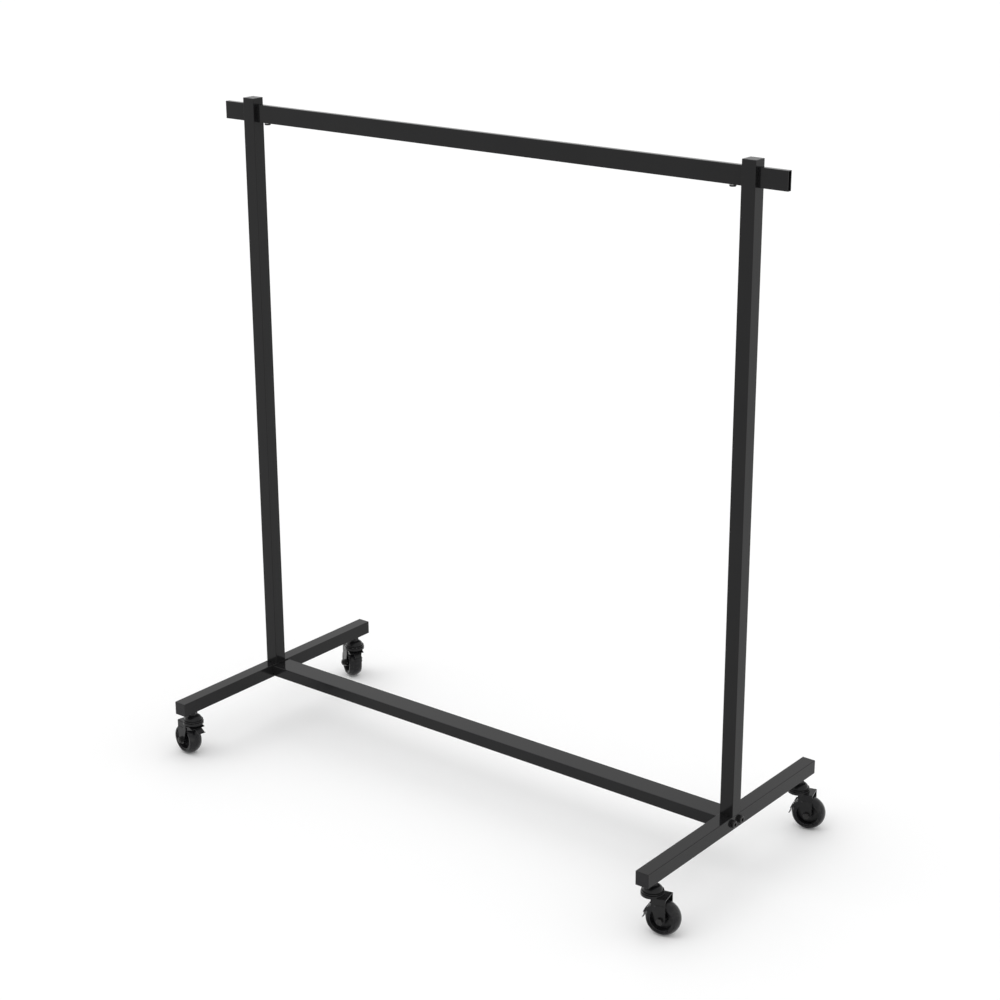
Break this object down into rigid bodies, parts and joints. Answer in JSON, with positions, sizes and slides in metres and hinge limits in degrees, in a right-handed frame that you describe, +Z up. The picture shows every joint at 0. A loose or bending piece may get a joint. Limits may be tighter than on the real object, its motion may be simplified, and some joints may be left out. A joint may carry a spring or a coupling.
{
  "type": "rolling clothes rack",
  "caption": "Rolling clothes rack: tall thin hanging rail through two square posts on square feet, flat base rail between them, on swivel casters with brakes.",
  "frame": {"origin": "on the floor, below the middle of the rack", "axes": "+X along the hanging rail towards its right end, +Y towards the back, +Z up"},
  "size_m": [1.5, 0.6628, 1.5465],
  "materials": {
    "frame_paint": "satin-gloss black powder coat on steel tube",
    "cap_plastic": "smooth black moulded plastic",
    "fastener_black": "black oxide on steel, satin",
    "caster_steel": "black electrocoat on pressed steel, semi-gloss",
    "bare_steel": "zinc plated or plain steel, out of sight",
    "wheel_plastic": "smooth black moulded nylon, semi-gloss"
  },
  "bodies": {
    "frame": {"post_left": "frame_paint", "post_cap_left": "cap_plastic", "post_plug_left": "bare_steel", "foot_left": "frame_paint", "foot_caps_left": "cap_plastic", "base_rail_insert_left": "bare_steel", "base_bolts_left": "fastener_black", "post_right": "frame_paint", "post_cap_right": "cap_plastic", "post_plug_right": "bare_steel", "foot_right": "frame_paint", "foot_caps_right": "cap_plastic", "base_rail_insert_right": "bare_steel", "base_bolts_right": "fastener_black", "hanging_rail": "frame_paint", "rail_screws": "fastener_black", "rail_rivet_nuts": "bare_steel", "post_bolts": "fastener_black", "stem_weld_nuts": "bare_steel", "base_rail": "frame_paint", "swivel_balls": "bare_steel", "caster_front_left_stem": "caster_steel", "caster_front_left_upper_cup": "caster_steel", "caster_front_right_stem": "caster_steel", "caster_front_right_upper_cup": "caster_steel", "caster_back_left_stem": "caster_steel", "caster_back_left_upper_cup": "caster_steel", "caster_back_right_stem": "caster_steel", "caster_back_right_upper_cup": "caster_steel"},
    "swivel_front_left": {"caster_front_left_fork": "caster_steel", "caster_front_left_axle": "fastener_black", "caster_front_left_bush": "bare_steel", "caster_front_left_brake_pins": "fastener_black"},
    "wheel_front_left": {"caster_front_left_wheel_core": "wheel_plastic", "caster_front_left_tread": "wheel_plastic"},
    "brake_front_left": {"caster_front_left_brake": "caster_steel"},
    "swivel_front_right": {"caster_front_right_fork": "caster_steel", "caster_front_right_axle": "fastener_black", "caster_front_right_bush": "bare_steel", "caster_front_right_brake_pins": "fastener_black"},
    "wheel_front_right": {"caster_front_right_wheel_core": "wheel_plastic", "caster_front_right_tread": "wheel_plastic"},
    "brake_front_right": {"caster_front_right_brake": "caster_steel"},
    "swivel_back_left": {"caster_back_left_fork": "caster_steel", "caster_back_left_axle": "fastener_black", "caster_back_left_bush": "bare_steel", "caster_back_left_brake_pins": "fastener_black"},
    "wheel_back_left": {"caster_back_left_wheel_core": "wheel_plastic", "caster_back_left_tread": "wheel_plastic"},
    "brake_back_left": {"caster_back_left_brake": "caster_steel"},
    "swivel_back_right": {"caster_back_right_fork": "caster_steel", "caster_back_right_axle": "fastener_black", "caster_back_right_bush": "bare_steel", "caster_back_right_brake_pins": "fastener_black"},
    "wheel_back_right": {"caster_back_right_wheel_core": "wheel_plastic", "caster_back_right_tread": "wheel_plastic"},
    "brake_back_right": {"caster_back_right_brake": "caster_steel"}
  },
  "joints": [
    {"name": "swivel_front_left_turn", "type": "hinge", "parent": "frame", "child": "swivel_front_left", "pos_m": [-0.668, -0.29, 0.0875], "axis": [0, 0, 1], "continuous": true},
    {"name": "wheel_front_left_roll", "type": "hinge", "parent": "swivel_front_left", "child": "wheel_front_left", "pos_m": [-0.69262, -0.28566, 0.038], "axis": [-0.1736, -0.9848, 0], "continuous": true},
    {"name": "brake_front_left_lever", "type": "hinge", "parent": "swivel_front_left", "child": "brake_front_left", "pos_m": [-0.6808, -0.28774, 0.07], "axis": [-0.1736, -0.9848, 0], "range_deg": [-50, 0]},
    {"name": "swivel_front_right_turn", "type": "hinge", "parent": "frame", "child": "swivel_front_right", "pos_m": [0.668, -0.29, 0.0875], "axis": [0, 0, 1], "continuous": true},
    {"name": "wheel_front_right_roll", "type": "hinge", "parent": "swivel_front_right", "child": "wheel_front_right", "pos_m": [0.69245, -0.2848, 0.038], "axis": [-0.2079, 0.9781, 0], "continuous": true},
    {"name": "brake_front_right_lever", "type": "hinge", "parent": "swivel_front_right", "child": "brake_front_right", "pos_m": [0.68072, -0.2873, 0.07], "axis": [-0.2079, 0.9781, 0], "range_deg": [0, 50]},
    {"name": "swivel_back_left_turn", "type": "hinge", "parent": "frame", "child": "swivel_back_left", "pos_m": [-0.668, 0.29, 0.0875], "axis": [0, 0, 1], "continuous": true},
    {"name": "wheel_back_left_roll", "type": "hinge", "parent": "swivel_back_left", "child": "wheel_back_left", "pos_m": [-0.68965, 0.3025, 0.038], "axis": [-0.5, -0.866, 0], "continuous": true},
    {"name": "brake_back_left_lever", "type": "hinge", "parent": "swivel_back_left", "child": "brake_back_left", "pos_m": [-0.67926, 0.2965, 0.07], "axis": [-0.5, -0.866, 0], "range_deg": [-50, 0]},
    {"name": "swivel_back_right_turn", "type": "hinge", "parent": "frame", "child": "swivel_back_right", "pos_m": [0.668, 0.29, 0.0875], "axis": [0, 0, 1], "continuous": true},
    {"name": "wheel_back_right_roll", "type": "hinge", "parent": "swivel_back_right", "child": "wheel_back_right", "pos_m": [0.69203, 0.29689, 0.038], "axis": [-0.2756, 0.9613, 0], "continuous": true},
    {"name": "brake_back_right_lever", "type": "hinge", "parent": "swivel_back_right", "child": "brake_back_right", "pos_m": [0.6805, 0.29358, 0.07], "axis": [-0.2756, 0.9613, 0], "range_deg": [0, 50]}
  ]
}
